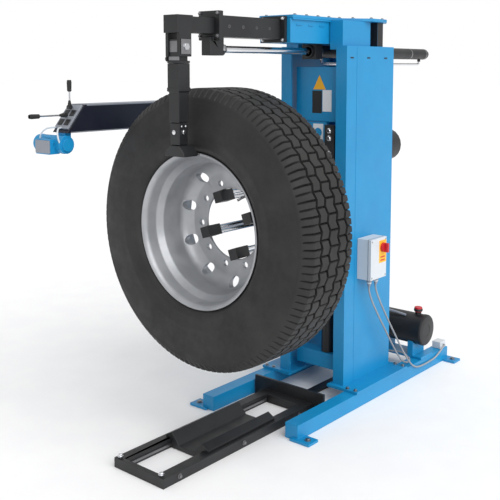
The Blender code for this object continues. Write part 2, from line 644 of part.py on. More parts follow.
def make_console(paints):
    """The control boom on its two-joint link, the levers on its sloping end, and the unit below it."""
    x, y = LINK_PIVOT
    wall = COLUMN_OUTER + GAP
    bracket = box(
        "console_bracket", (-wall - 0.014, y - 0.05, 1.050), (-wall, y + 0.05, 1.190), paints["blue"]
    )
    for k, z in enumerate((1.050, 1.172)):
        lug = box(f"bracket_lug_{k + 1}", (x - 0.028, y - 0.03, z), (-wall - 0.005, y + 0.03, z + 0.018))
        fuse(bracket, lug)
    fuse(bracket, bar("bracket_pin", 2, (x, y), 0.0120, 1.045, 1.195, sides=16))
    bx, by = BOOM_PIVOT
    link = bar("console_link", 2, (x, y), 0.026, 1.068 + RUN, 1.172 - RUN, paints["black"])
    beam = box("link_beam", (bx - 0.01, y - 0.030, 1.085), (x - 0.012, y + 0.030, 1.155))
    post = bar("link_post", 2, (bx, by), 0.036, 1.085, BOOM_Z[0] - RUN)
    fuse(link, beam, post)
    cut(link, bar("link_hole", 2, (x, y), 0.0125, 1.0, 1.3, sides=16))
    fuse(link, bar("boom_pin", 2, (bx, by), 0.0150, 1.15, 1.270, sides=16))
    low, high = BOOM_Z
    outline = [(-1.085, low), (-0.080, low), (-0.080, high), (-0.996, high)]
    boom = prism("console_boom", outline, 0, BOOM_X[0], BOOM_X[1], paints["navy"])
    cut(boom, bar("boom_hole", 2, (bx, by), 0.0155, 1.1, 1.2705, sides=16))
    lean = Vector((0, -1.085 + 0.996, low - high)).normalized()
    out = Vector((0, lean.z, -lean.y))
    start = Vector((0, -0.996, high)) + out * GAP + lean * 0.006
    end = Vector((0, -1.085, low)) + out * GAP - lean * 0.016
    thick = out * 0.008
    panel_outline = [(p.y, p.z) for p in (start, end, end + thick, start + thick)]
    inset = 0.004
    panel = prism("control_panel", panel_outline, 0, BOOM_X[0] + inset, BOOM_X[1] - inset, paints["grey"])
    unit = bar("boom_unit", 0, (-1.100, 1.155), 0.036, -0.715, -0.540, paints["blue"])
    fuse(unit, bar("unit_end", 0, (-1.100, 1.155), 0.026, -0.727, -0.53, sides=16))
    fuse(unit, box("unit_box", (-0.662, -1.160, 1.118), (-0.575, -1.110, 1.178)))
    fuse(unit, box("unit_hanger", (-0.630, -1.082, 1.150), (-0.575, -1.052, low - GAP)))
    up_lever = make_lever("lever_upright", UPRIGHT_LEVER, Vector((0, 0, 1)), 0.110, paints)
    out_lever = make_lever("lever_forward", FORWARD_LEVER, Vector((0, -1, 0)), 0.170, paints)
    link_joint = joint("link_swing", (x, y, 1.120))
    boom_joint = joint("boom_swing", (bx, by, low), link_joint)
    carry(link_joint, link)
    carry(boom_joint, boom, panel, unit)
    carry(joint("lever_upright_tilt", UPRIGHT_LEVER, boom_joint), up_lever)
    carry(joint("lever_forward_tilt", FORWARD_LEVER, boom_joint), out_lever)


def make_lever(name, pivot, along, length, paints):
    """A control lever: a small boss in front of the panel, a thin stem and a grip."""
    shape = bar(name, 0, (0, 0), 0.0095, -0.009, 0.009, paints["black"], sides=12)
    shape.location = pivot
    turn = along.to_track_quat("Z", "Y")
    stem = bar(f"{name}_stem", 2, (0, 0), 0.0035, 0.0, length - 0.02, sides=10)
    grip = bar(f"{name}_grip", 2, (0, 0), 0.0085, length - 0.045, length, sides=12)
    for part in (stem, grip):
        part.location = pivot
        part.rotation_mode = "QUATERNION"
        part.rotation_quaternion = turn
    return fuse(shape, stem, grip)


def main():
    clear_scene()
    paints = {
        "blue": material("blue_paint", (0.012, 0.28, 0.62), 0.35),
        "black": material("black_paint", (0.025, 0.026, 0.028), 0.45),
        "navy": material("navy_paint", (0.010, 0.013, 0.024), 0.40),
        "grey": material("grey_plastic", (0.58, 0.60, 0.63), 0.50),
        "red": material("red_plastic", (0.60, 0.02, 0.03), 0.40),
        "chrome": material("chrome_steel", (0.80, 0.80, 0.82), 0.15, 1.0),
        "steel": material("bare_steel", (0.42, 0.42, 0.43), 0.40, 1.0),
        "silver": material("silver_rim", (0.50, 0.51, 0.53), 0.38, 0.7),
        "rubber": material("black_rubber", (0.020, 0.020, 0.022), 0.75),
    }
    for side in (-1, 1):
        make_base_rail(side, paints)
        make_column(side, paints)
    make_ties(paints)
    make_floor_track(paints)
    make_wheel_cradle(paints)
    make_housing(paints)
    make_arm_cylinder(paints)
    make_switch_box(paints)
    make_power_unit(paints)
    make_leads(paints)
    make_console(paints)

    lift = joint("carriage_lift", (0, 0, SPINDLE_Z))
    carry(lift, make_lift_cylinder(paints), *make_carriage(paints))
    belt_pieces, motor_pulley, spindle_pulley = make_drive(paints)
    carry(lift, *belt_pieces)
    spin = joint("spindle_spin", (0, 0, SPINDLE_Z), lift)
    carry(spin, spindle_pulley, make_rim(paints), make_tyre(paints), *make_spindle(paints))
    carry(joint("motor_spin", (0, 0, MOTOR_Z), lift), motor_pulley)
    for number in (1, 2, 3, 4):
        turn = JAW_PHASE + (number - 1) * math.pi / 2
        place = (0.1 * math.cos(turn), 0, SPINDLE_Z + 0.1 * math.sin(turn))
        carry(joint(f"jaw_{number}_slide", place, spin), make_jaw(number, paints))

    slide = joint("arm_slide", (0, 0, ARM_Z))
    carry(slide, *make_tool_arm(paints))
    tilted, turning = make_tool(paints)
    tilt = joint("tool_tilt", (0, TOOL_Y, TILT_Z), slide)
    carry(tilt, *tilted)
    carry(joint("tool_turn", (0, TOOL_Y, 1.4765), tilt), *turning)


main()
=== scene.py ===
"""Looks of the truck tyre changer: its wheel, fine pieces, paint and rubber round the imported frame."""

import json
import math

import bmesh
import bpy
from mathutils import Matrix, Vector
from mathutils.geometry import interpolate_bezier


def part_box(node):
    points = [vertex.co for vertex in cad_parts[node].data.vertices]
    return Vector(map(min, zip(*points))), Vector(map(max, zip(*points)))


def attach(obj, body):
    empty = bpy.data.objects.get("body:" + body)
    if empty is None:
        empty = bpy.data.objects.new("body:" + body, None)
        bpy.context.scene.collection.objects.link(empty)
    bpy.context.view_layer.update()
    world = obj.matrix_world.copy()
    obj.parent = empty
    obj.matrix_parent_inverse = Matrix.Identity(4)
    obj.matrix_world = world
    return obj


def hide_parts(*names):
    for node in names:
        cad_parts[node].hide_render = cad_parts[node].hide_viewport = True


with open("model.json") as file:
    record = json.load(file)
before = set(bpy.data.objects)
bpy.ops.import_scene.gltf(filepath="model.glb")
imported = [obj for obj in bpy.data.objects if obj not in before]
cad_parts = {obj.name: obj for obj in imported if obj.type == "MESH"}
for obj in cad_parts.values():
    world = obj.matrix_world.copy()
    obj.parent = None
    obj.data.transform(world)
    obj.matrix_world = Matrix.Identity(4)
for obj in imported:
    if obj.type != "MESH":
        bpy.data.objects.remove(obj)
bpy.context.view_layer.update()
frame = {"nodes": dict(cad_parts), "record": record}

BLUE = (0.004, 0.225, 0.480)
BLUE_SCUFF = (0.02, 0.27, 0.58)
BLACK = (0.008, 0.0085, 0.010)
BLACK_SCUFF = (0.035, 0.035, 0.036)
NAVY = (0.004, 0.006, 0.014)
NAVY_SCUFF = (0.03, 0.03, 0.04)
GREY = (0.56, 0.60, 0.64)
FULL_TURN = 2 * math.pi
SIDES = ((1, "right"), (-1, "left"))



def middle(node):
    """The centre of a frame node's box."""
    low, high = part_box(node)
    return [(start + end) / 2 for start, end in zip(low, high)]


# Where the machine's parts are: X to its right side, -Y towards the wheel, Z up from the floor.
WHEEL_Y = -0.795
SPINDLE_Z = middle("tyre")[2]
JAW_PHASE = math.radians(20)
JAW_BACK = -0.6877
COLUMN_FACE = 0.175
ARM_Z = middle("tool_arm")[2]
ARM_CYLINDER_Z = middle("arm_rod")[2]
HEAD_Y = middle("tool_post")[1]
DRIVE_MOTOR_Z = middle("drive_motor")[2]
TANK_Y = middle("oil_tank")[1]
TANK_Z = middle("pump_motor")[2]
BOX_GLAND_X = 0.212
BOX_GLANDS_Y = (-0.050, 0.005)
LEVER_X = middle("lever_upright")[0]
BOOM_UNIT_Y = -1.100
BOOM_UNIT_Z = 1.155


# ---------------------------------------------------------------- camera


CAMERA_PLACE = (2.161, -3.158, 1.458)
CAMERA_DOWN = math.radians(5.73)
CAMERA_TURN = math.radians(40.47)


def make_camera():
    """Looks from ahead of the machine's right front corner, turned down a little."""
    data = bpy.data.cameras.new("view_camera")
    data.lens = 60.4
    data.sensor_width = 36
    data.shift_x = 0.004
    data.shift_y = -0.195
    camera = bpy.data.objects.new("view_camera", data)
    camera.location = CAMERA_PLACE
    camera.rotation_euler = (math.pi / 2 - CAMERA_DOWN, 0, CAMERA_TURN)
    bpy.context.collection.objects.link(camera)
    bpy.context.scene.camera = camera


# ---------------------------------------------------------------- materials


def new_node(tree, kind, **values):
    """A shader node with these settings or inputs, an underscore standing for a space in an input's name."""
    made = tree.nodes.new(kind)
    for name, value in values.items():
        if hasattr(made, name):
            setattr(made, name, value)
        else:
            made.inputs[name.replace("_", " ")].default_value = value
    return made


def noise_at(tree, scale, detail, roughness=0.55):
    """Noise that stays with the object as it moves."""
    place = new_node(tree, "ShaderNodeTexCoord")
    made = new_node(tree, "ShaderNodeTexNoise", Scale=scale, Detail=detail, Roughness=roughness)
    tree.links.new(place.outputs["Object"], made.inputs["Vector"])
    return made


def spread(tree, value, low, high, to_low, to_high):
    """The value with its range from low to high stretched to another range."""
    made = new_node(tree, "ShaderNodeMapRange")
    for name, number in (("From Min", low), ("From Max", high), ("To Min", to_low), ("To Max", to_high)):
        made.inputs[name].default_value = number
    tree.links.new(value, made.inputs["Value"])
    return made.outputs["Result"]


def mixed(tree, share, first, second):
    """A colour between the first and the second, each of which is a colour or another node's output."""
    made = new_node(tree, "ShaderNodeMix", data_type="RGBA")
    tree.links.new(share, made.inputs["Factor"])
    for side, tone in (("A", first), ("B", second)):
        if isinstance(tone, tuple):
            made.inputs[side].default_value = (*tone, 1.0)
        else:
            tree.links.new(tone, made.inputs[side])
    return made.outputs["Result"]


def finish(name, tones, rough, metallic=0.0, grain=220.0, bump=0.04, scuff=None, scuff_size=9.0):
    """A surface with slow colour change, uneven gloss, fine grain in relief and scattered scuffs."""
    made = bpy.data.materials.new(name)
    made.use_nodes = True
    tree = made.node_tree
    shader = tree.nodes["Principled BSDF"]
    slow = noise_at(tree, 6.0, 3.0)
    tone = mixed(tree, spread(tree, slow.outputs["Fac"], 0.35, 0.65, 0.0, 1.0), *tones)
    worn = noise_at(tree, scuff_size, 9.0, 0.72)
    if scuff:
        tone = mixed(tree, spread(tree, worn.outputs["Fac"], 0.66, 0.74, 0.0, 0.55), tone, scuff)
    tree.links.new(tone, shader.inputs["Base Color"])
    gloss = spread(tree, worn.outputs["Fac"], 0.3, 0.75, rough * 0.85, min(1.0, rough * 1.35))
    tree.links.new(gloss, shader.inputs["Roughness"])
    shader.inputs["Metallic"].default_value = metallic
    fine = noise_at(tree, grain, 3.0)
    relief = new_node(tree, "ShaderNodeBump", Strength=bump, Distance=0.0015)
    tree.links.new(fine.outputs["Fac"], relief.inputs["Height"])
    tree.links.new(relief.outputs["Normal"], shader.inputs["Normal"])
    return made


def make_finishes():
    """Every finish by name: its two tones and roughness, then what differs from a plain painted surface."""
    looks = {
        "blue": ((BLUE, (0.005, 0.245, 0.510)), 0.36, dict(grain=160, bump=0.07, scuff=BLUE_SCUFF)),
        "black": ((BLACK, (0.013, 0.014, 0.015)), 0.42, dict(grain=200, bump=0.10, scuff=BLACK_SCUFF)),
        "navy": ((NAVY, (0.006, 0.008, 0.018)), 0.40, dict(grain=180, bump=0.08, scuff=NAVY_SCUFF)),
        "grey": ((GREY, (0.60, 0.63, 0.66)), 0.46, dict(grain=420, bump=0.12)),
        "panel": (((0.26, 0.28, 0.32), (0.31, 0.33, 0.37)), 0.42, dict(metallic=0.4, grain=300, bump=0.08)),
        "cable": (((0.26, 0.27, 0.29), (0.31, 0.32, 0.34)), 0.50, dict(grain=400, bump=0.08)),
        "red": (((0.50, 0.010, 0.020), (0.58, 0.018, 0.026)), 0.32, dict(grain=300, bump=0.05)),
        "yellow": (((0.80, 0.40, 0.01), (0.86, 0.46, 0.02)), 0.40, dict(grain=300)),
        "white": (((0.74, 0.76, 0.78), (0.67, 0.70, 0.74)), 0.42, dict(grain=300, bump=0.03)),
        "chrome": (((0.78, 0.79, 0.81), (0.66, 0.67, 0.70)), 0.12, dict(metallic=1.0, grain=500, bump=0.02)),
        "steel": (
            ((0.30, 0.30, 0.31), (0.22, 0.22, 0.23)),
            0.36,
            dict(metallic=1.0, grain=350, bump=0.08, scuff=(0.12, 0.11, 0.10)),
        ),
        "silver": (
            ((0.46, 0.47, 0.49), (0.34, 0.35, 0.37)),
            0.38,
            dict(metallic=0.55, grain=260, bump=0.06, scuff=(0.19, 0.18, 0.17), scuff_size=14),
        ),
        "rubber": (
            ((0.009, 0.009, 0.0095), (0.017, 0.0165, 0.016)),
            0.60,
            dict(grain=380, bump=0.22, scuff=(0.045, 0.038, 0.030), scuff_size=11),
        ),
        "belt": (((0.012, 0.012, 0.012), (0.018, 0.018, 0.018)), 0.70, dict(grain=300, bump=0.2)),
        "floor": (((0.90, 0.90, 0.90), (0.88, 0.88, 0.89)), 0.80, dict(grain=90, bump=0.02)),
    }
    made = {}
    for name, (tones, rough, extra) in looks.items():
        made[name] = finish(f"{name}_finish", tones, rough, **extra)
    return made


# ---------------------------------------------------------------- shapes


def add_mesh(name, shape, paint, smooth=35):
    """One object from a finished shape, shaded smooth except at edges sharper than this many degrees."""
    bmesh.ops.recalc_face_normals(shape, faces=shape.faces)
    mesh = bpy.data.meshes.new(name)
    shape.to_mesh(mesh)
    shape.free()
    mesh.shade_smooth()
    mesh.set_sharp_from_angle(angle=math.radians(smooth))
    mesh.materials.append(paint)
    made = bpy.data.objects.new(name, mesh)
    bpy.context.collection.objects.link(made)
    return made


def soften(made, width, segments=2):
    """Rounds an object's sharp edges by this width."""
    step = made.modifiers.new("soft_edges", "BEVEL")
    step.width = width
    step.segments = segments
    step.limit_method = "ANGLE"
    step.angle_limit = math.radians(35)
    step.harden_normals = True
    return made


def around(count, radius, phase=0.0):
    """Pairs of offsets at equal steps round a circle."""
    turns = [phase + FULL_TURN * k / count for k in range(count)]
    return [(radius * math.cos(turn), radius * math.sin(turn)) for turn in turns]


def span(xs, ys, zs):
    """A block's low and high corners, from where it starts and ends along each axis in either order."""
    return (min(xs), min(ys), min(zs)), (max(xs), max(ys), max(zs))


def put_block(shape, low, high):
    """A block between two corners; its eight vertices are given back."""
    xs, ys, zs = zip(low, high)
    corners = [shape.verts.new((x, y, z)) for x in xs for y in ys for z in zs]
    for face in ((0, 1, 3, 2), (4, 6, 7, 5), (0, 4, 5, 1), (2, 3, 7, 6), (0, 2, 6, 4), (1, 5, 7, 3)):
        shape.faces.new([corners[k] for k in face])
    return corners


def put_lathe(shape, profile, place, axis, sides=24, phase=0.0):
    """A closed turned body along this axis; its profile is (along, radius) from one end to the other."""
    axis = Vector(axis).normalized()
    side = axis.orthogonal().normalized()
    other = axis.cross(side)
    rings = []
    for along, radius in profile:
        ring = []
        for k in range(sides):
            turn = phase + FULL_TURN * k / sides
            way = side * math.cos(turn) + other * math.sin(turn)
            ring.append(shape.verts.new(Vector(place) + axis * along + way * radius))
        rings.append(ring)
    for one, two in zip(rings, rings[1:]):
        for k in range(sides):
            n = (k + 1) % sides
            shape.faces.new((one[k], one[n], two[n], two[k]))
    shape.faces.new(list(reversed(rings[0])))
    shape.faces.new(rings[-1])


def put_bolt(shape, place, axis, size, height):
    """A washer and a hexagon head with its chamfer."""
    under_head = 0.0016
    washer = [(0, size * 1.35), (0.0012, size * 1.35), (under_head, size * 1.25)]
    put_lathe(shape, washer, place, axis, 20)
    top = under_head + height
    head = [(0.0014, size), (top - 0.001, size), (top, size * 0.86)]
    put_lathe(shape, head, place, axis, 6, phase=0.3)


def bolts(name, places, axis, body, paint, size=0.009, height=0.006):
    """Bolt heads in one piece, all facing along this axis."""
    shape = bmesh.new()
    for place in places:
        put_bolt(shape, place, axis, size, height)
    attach(add_mesh(name, shape, paint), body)


def blocks(name, boxes, body, paint, edge=0.001):
    """Blocks with rounded edges in one piece; each of the boxes is (low, high)."""
    shape = bmesh.new()
    for low, high in boxes:
        put_block(shape, low, high)
    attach(soften(add_mesh(name, shape, paint), edge), body)


def lathes(name, parts, body, paint, sides=32):
    """Turned bodies in one piece; each of the parts is (profile, place, axis)."""
    shape = bmesh.new()
    for profile, place, axis in parts:
        put_lathe(shape, profile, place, axis, sides)
    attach(add_mesh(name, shape, paint), body)


def tube(name, points, radius, body, paint):
    """A round pipe that bends smoothly through its points."""
    curve = bpy.data.curves.new(name, "CURVE")
    curve.dimensions = "3D"
    curve.bevel_depth = radius
    curve.bevel_resolution = 5
    curve.use_fill_caps = True
    curve.resolution_u = 10
    spline = curve.splines.new("BEZIER")
    spline.bezier_points.add(len(points) - 1)
    for point, place in zip(spline.bezier_points, points):
        point.co = place
        point.handle_left_type = "AUTO"
        point.handle_right_type = "AUTO"
    curve.materials.append(paint)
    made = bpy.data.objects.new(name, curve)
    bpy.context.collection.objects.link(made)
    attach(made, body)


# ---------------------------------------------------------------- cords

LEAD_RADIUS = 0.004
LEAD_STEP = 0.022 / 3

# From the switch box's front gland down, round behind the base and up to the pump motor.
MOTOR_ROUTE = [
    (0.212, -0.050, 0.5117),
    (0.212, -0.049, 0.480),
    (0.216, -0.030, 0.430),
    (0.223, 0.010, 0.360),
    (0.229, 0.060, 0.285),
    (0.234, 0.115, 0.205),
    (0.236, 0.170, 0.135),
    (0.235, 0.225, 0.088),
    (0.231, 0.275, 0.0715),
    (0.212, 0.318, 0.0715),
    (0.160, 0.338, 0.085),
    (0.080, 0.344, 0.076),
    (-0.020, 0.338, 0.060),
    (-0.110, 0.336, 0.062),
    (-0.190, 0.335, 0.095),
    (-0.250, 0.328, 0.145),
    (-0.290, 0.326, 0.205),
    (-0.306, 0.345, 0.265),
    (-0.296, 0.395, 0.302),
    (-0.265, 0.450, 0.307),
    (-0.232, 0.485, 0.288),
    (-0.212, 0.490, 0.256),
    (-0.205, 0.486, 0.238),
    (-0.205, 0.486, 0.2275),
]

# From the switch box's rear gland down and along the base rail into the inlet at its rear end.
SUPPLY_ROUTE = [
    (0.212, 0.005, 0.5117),
    (0.212, 0.006, 0.480),
    (0.220, 0.022, 0.430),
    (0.232, 0.055, 0.360),
    (0.242, 0.098, 0.285),
    (0.251, 0.148, 0.205),
    (0.258, 0.200, 0.130),
    (0.262, 0.250, 0.075),
    (0.2625, 0.300, 0.048),
    (0.2625, 0.360, 0.040),
    (0.2625, 0.420, 0.040),
    (0.2625, 0.480, 0.044),
    (0.2640, 0.520, 0.058),
    (0.2660, 0.548, 0.074),
    (0.2655, 0.568, 0.081),
    (0.2620, 0.583, 0.081),
    (0.2565, 0.589, 0.081),
    (0.2513, 0.5895, 0.081),
]


def smooth_route(points, spacing):
    """Points at about this spacing along one smooth curve through the route's points."""
    points = [Vector(point) for point in points]
    before = [points[0], *points]
    after = [*points[1:], points[-1]]
    slopes = [(following - previous) / 2 for previous, following in zip(before, after)]
    smooth = [points[0]]
    for here, there, out, into in zip(points, points[1:], slopes, slopes[1:]):
        steps = max(1, round((there - here).length / spacing))
        smooth += interpolate_bezier(here, here + out / 3, there - into / 3, there, steps + 1)[1:]
    return smooth


def make_lead(name, route, node, paint):
    """One round lead that takes the place of the frame's node."""
    points = smooth_route(route, LEAD_STEP)
    curve = bpy.data.curves.new(name, "CURVE")
    curve.dimensions = "3D"
    curve.bevel_depth = LEAD_RADIUS
    curve.bevel_resolution = 4
    curve.use_fill_caps = True
    spline = curve.splines.new("POLY")
    spline.points.add(len(points) - 1)
    for point, place in zip(spline.points, points):
        point.co = (*place, 1)
    spline.use_smooth = True
    curve.materials.append(paint["cable"])
    made = bpy.data.objects.new(name, curve)
    bpy.context.collection.objects.link(made)
    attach(made, "machine")
    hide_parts(node)


# ---------------------------------------------------------------- frame finishes

# The finish of each of the record's material slots, and the nodes that have another one.
SLOT_PAINT = {
    "blue_paint": "blue",
    "black_paint": "black",
    "navy_paint": "navy",
    "grey_plastic": "grey",
    "red_plastic": "red",
    "chrome_steel": "chrome",
    "bare_steel": "steel",
    "silver_rim": "silver",
    "black_rubber": "rubber",
    "drive_rubber": "belt",
}
OWN_PAINT = {"control_panel": "panel", "tool_shoe": "black"}

# How far edges are rounded: most of them, those of the blue steelwork, and some pieces' own.
PLAIN_EDGE = 0.0014
PAINTED_EDGE = 0.0022
ROUND_EDGE = {
    "arm_fork": 0.004,
    "tool_post": 0.0045,
    "tool_holder": 0.0045,
    "arm_collar": 0.003,
    "tool_shoe": 0.003,
}


def dress_frame(paint):
    """Rounds the frame's edges and gives each of its nodes its finish."""
    slots = {row["node"]: row["material_slot"] for row in frame["record"]["subparts"]}
    for name, node in frame["nodes"].items():
        mesh = node.data
        mesh.materials.clear()
        mesh.materials.append(paint[OWN_PAINT.get(name, SLOT_PAINT[slots[name]])])
        if "custom_normal" in mesh.attributes:
            mesh.attributes.remove(mesh.attributes["custom_normal"])
        mesh.shade_smooth()
        weld = node.modifiers.new("join_corners", "WELD")
        weld.merge_threshold = 0.00001
        usual = PAINTED_EDGE if slots[name] == "blue_paint" else PLAIN_EDGE
        soften(node, ROUND_EDGE.get(name, usual), 3)


# ---------------------------------------------------------------- wheel


def turned_ring(name, profile, paint, sides, shape_row=None):
    """A closed ring round the wheel's axis; shape_row(index, k, radius, y) may move one of its points."""
    shape = bmesh.new()
    rings = []
    for k, (across, up) in enumerate(around(sides, 1.0)):
        ring = []
        for index, (radius, y) in enumerate(profile):
            if shape_row:
                radius, y = shape_row(index, k, radius, y)
            ring.append(shape.verts.new((radius * across, WHEEL_Y + y, SPINDLE_Z + radius * up)))
        rings.append(ring)
    count = len(profile)
    for k in range(sides):
        here, there = rings[k], rings[(k + 1) % sides]
        for j in range(count):
            n = (j + 1) % count
            shape.faces.new((here[j], there[j], there[n], here[n]))
    made = add_mesh(name, shape, paint, 38)
    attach(made, "spindle")
    return made


# Steps round the whole tread, and the steps that each block and each shoulder notch takes.
TREAD_STEPS = 720
BLOCK_STEPS = 12
NOTCH_STEPS = 6
TREAD_TOP = 0.538
GROOVE_DEPTH = 0.014
SLIT_DEPTH = 0.010
NOTCH_DEPTH = 0.010
ZIG_WIDTH = 0.011
GROOVES_Y = (-0.076, -0.027, 0.027, 0.076)
GROOVE_TOP_HALF = 0.0062
GROOVE_FLOOR_HALF = 0.0042


def make_tyre(paint):
    """A skin with zig-zag grooves and cross slits in its tread, notched shoulders and ribbed sides."""
    rows = [(0.514, -0.1325, "notch"), (0.5255, -0.1225, "notch"), (0.5365, -0.112, "notch")]
    for number, centre in enumerate(GROOVES_Y):
        rows.append((TREAD_TOP, centre - GROOVE_TOP_HALF, f"rib{number % 2}"))
        rows.append((TREAD_TOP - GROOVE_DEPTH, centre - GROOVE_FLOOR_HALF, "groove"))
        rows.append((TREAD_TOP - GROOVE_DEPTH, centre + GROOVE_FLOOR_HALF, "groove"))
        rows.append((TREAD_TOP, centre + GROOVE_TOP_HALF, f"rib{(number + 1) % 2}"))
    rows += [(radius, -y, kind) for radius, y, kind in reversed(rows[:3])]
    side = [(0.505, 0.139), (0.498, 0.1435), (0.492, 0.1435), (0.488, 0.1455), (0.460, 0.1500)]
    side += [(0.430, 0.1540), (0.400, 0.1558), (0.376, 0.1550), (0.372, 0.1558), (0.368, 0.1550)]
    side += [(0.350, 0.1522), (0.332, 0.1470), (0.328, 0.1475), (0.322, 0.1448), (0.312, 0.1390)]
    side += [(0.304, 0.1300), (0.300, 0.1245), (0.2876, 0.1200)]
    inner = [(0.2870, 0.098), (0.316, 0.110), (0.370, 0.132), (0.430, 0.134), (0.495, 0.116), (0.512, 0.092)]
    half = side + inner
    profile = rows + [(radius, y, "plain") for radius, y in half]
    profile += [(radius, -y, "plain") for radius, y in reversed(half)]

    def shape_row(index, k, radius, y):
        kind = profile[index][2]
        if kind == "notch":
            return radius - (NOTCH_DEPTH if k % NOTCH_STEPS == 0 else 0), y
        if kind == "plain":
            return radius, y
        share = abs(k % BLOCK_STEPS / (BLOCK_STEPS / 2) - 1)
        start = BLOCK_STEPS // 2 if kind == "rib1" else 0
        slit = kind != "groove" and (k + start) % BLOCK_STEPS == 0
        return radius - (SLIT_DEPTH if slit else 0), y + ZIG_WIDTH * (share - 0.5)

    outline = [(radius, y) for radius, y, kind in profile]
    tyre = turned_ring("truck_tyre", outline, paint["rubber"], TREAD_STEPS, shape_row)
    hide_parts("tyre")


def apply_modifiers(made):
    """Puts the object's modifiers into its mesh."""
    graph = bpy.context.evaluated_depsgraph_get()
    mesh = bpy.data.meshes.new_from_object(made.evaluated_get(graph))
    made.modifiers.clear()
    made.data = mesh


RIM_HOLES = 10


def make_rim(paint):
    """Deep steel rim with rounded flanges, a dished disc, stud holes and hand holes."""
    tyre_side = [(0.2960, -0.1350), (0.2984, -0.1335), (0.2984, -0.1290), (0.2960, -0.1262)]
    tyre_side += [(0.2885, -0.1225), (0.2866, -0.1180), (0.2850, -0.0850), (0.2800, -0.0760)]
    tyre_side += [(0.2670, -0.0630), (0.2640, -0.0560), (0.2640, 0.0260), (0.2670, 0.0350)]
    tyre_side += [(0.2820, 0.0760), (0.2850, 0.0850), (0.2866, 0.1180), (0.2885, 0.1225)]
    tyre_side += [(0.2960, 0.1262), (0.2984, 0.1290), (0.2984, 0.1335), (0.2960, 0.1350)]
    disc_back = [(0.2800, 0.1300), (0.2765, 0.0900), (0.2570, 0.0640), (0.2400, 0.0780)]
    disc_back += [(0.2180, 0.0905), (0.2120, 0.0920), (0.1425, 0.0920), (0.1406, 0.0900)]
    disc_front = [(0.1406, 0.0800), (0.1425, 0.0780), (0.2070, 0.0780), (0.2130, 0.0765)]
    disc_front += [(0.2350, 0.0600), (0.2520, 0.0400), (0.2545, 0.0280), (0.2545, -0.0480)]
    disc_front += [(0.2575, -0.0560), (0.2740, -0.0720), (0.2768, -0.0800), (0.2790, -0.1130)]
    disc_front += [(0.2830, -0.1230), (0.2900, -0.1320)]
    profile = tyre_side + disc_back + disc_front
    rim = turned_ring("steel_rim", profile, paint["silver"], 160)
    cutters = []
    for name, circle, radius, first in (("stud", 0.1675, 0.0130, 4.5), ("hand", 0.2280, 0.0220, 22.5)):
        shape = bmesh.new()
        for across, up in around(RIM_HOLES, circle, math.radians(first)):
            place = (across, WHEEL_Y, SPINDLE_Z + up)
            put_lathe(shape, [(0, radius), (0.2, radius)], place, (0, 1, 0), 24)
        cutters.append(add_mesh(f"{name}_hole_cutter", shape, paint["silver"]))
    for cutter in cutters:
        step = rim.modifiers.new("holes", "BOOLEAN")
        step.operation = "DIFFERENCE"
        step.object = cutter
    apply_modifiers(rim)
    for cutter in cutters:
        bpy.data.objects.remove(cutter, do_unlink=True)
    rim.data.set_sharp_from_angle(angle=math.radians(32))
    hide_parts("wheel_rim")
    valve = [(0, 0.006), (0.010, 0.006), (0.012, 0.004), (0.052, 0.004), (0.053, 0.005), (0.062, 0.005)]
    foot = (0.200, WHEEL_Y - 0.040, SPINDLE_Z + 0.156)
    lathes("tyre_valve", [(valve, foot, (-0.5, -0.7, -0.39))], "spindle", paint["steel"], 12)


def make_chuck_details(paint):
    """Bright sleeves on the jaws' bars, the chuck's centre cap, and the chuck's and the bearing's bolts."""
    sleeve = [(0, 0.0112), (0.012, 0.0112), (0.013, 0.0095), (0.268, 0.0095)]
    for number in (1, 2, 3, 4):
        turn = JAW_PHASE + (number - 1) * math.pi / 2
        out = Vector((math.cos(turn), 0, math.sin(turn)))
        side = Vector((-math.sin(turn), 0, math.cos(turn)))
        hub = Vector((0, JAW_BACK, SPINDLE_Z))
        starts = [hub + out * reach + side * shift for reach, shift in ((0.108, 0.010), (0.126, -0.010))]
        parts = [(sleeve, start, (0, 1, 0)) for start in starts]
        lathes(f"jaw_sleeves_{number}", parts, f"clamp_{number}", paint["chrome"], 24)
    cap = [(0, 0.028), (0.012, 0.028), (0.016, 0.025), (0.016, 0.014), (0.022, 0.012), (0.024, 0.009)]
    lathes("chuck_cap", [(cap, (0, -0.376, SPINDLE_Z), (0, -1, 0))], "spindle", paint["steel"])
    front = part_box("chuck_body")[0][1]
    places = [(x, front, SPINDLE_Z + z) for x, z in around(8, 0.088, JAW_PHASE + math.pi / 8)]
    bolts("chuck_bolts", places, (0, -1, 0), "spindle", paint["steel"], 0.006)
    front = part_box("spindle_bearing")[0][1]
    places = [(x, front, SPINDLE_Z + z) for x, z in around(6, 0.080)]
    bolts("bearing_bolts", places, (0, -1, 0), "carriage", paint["steel"], 0.006)


# ---------------------------------------------------------------- machine details


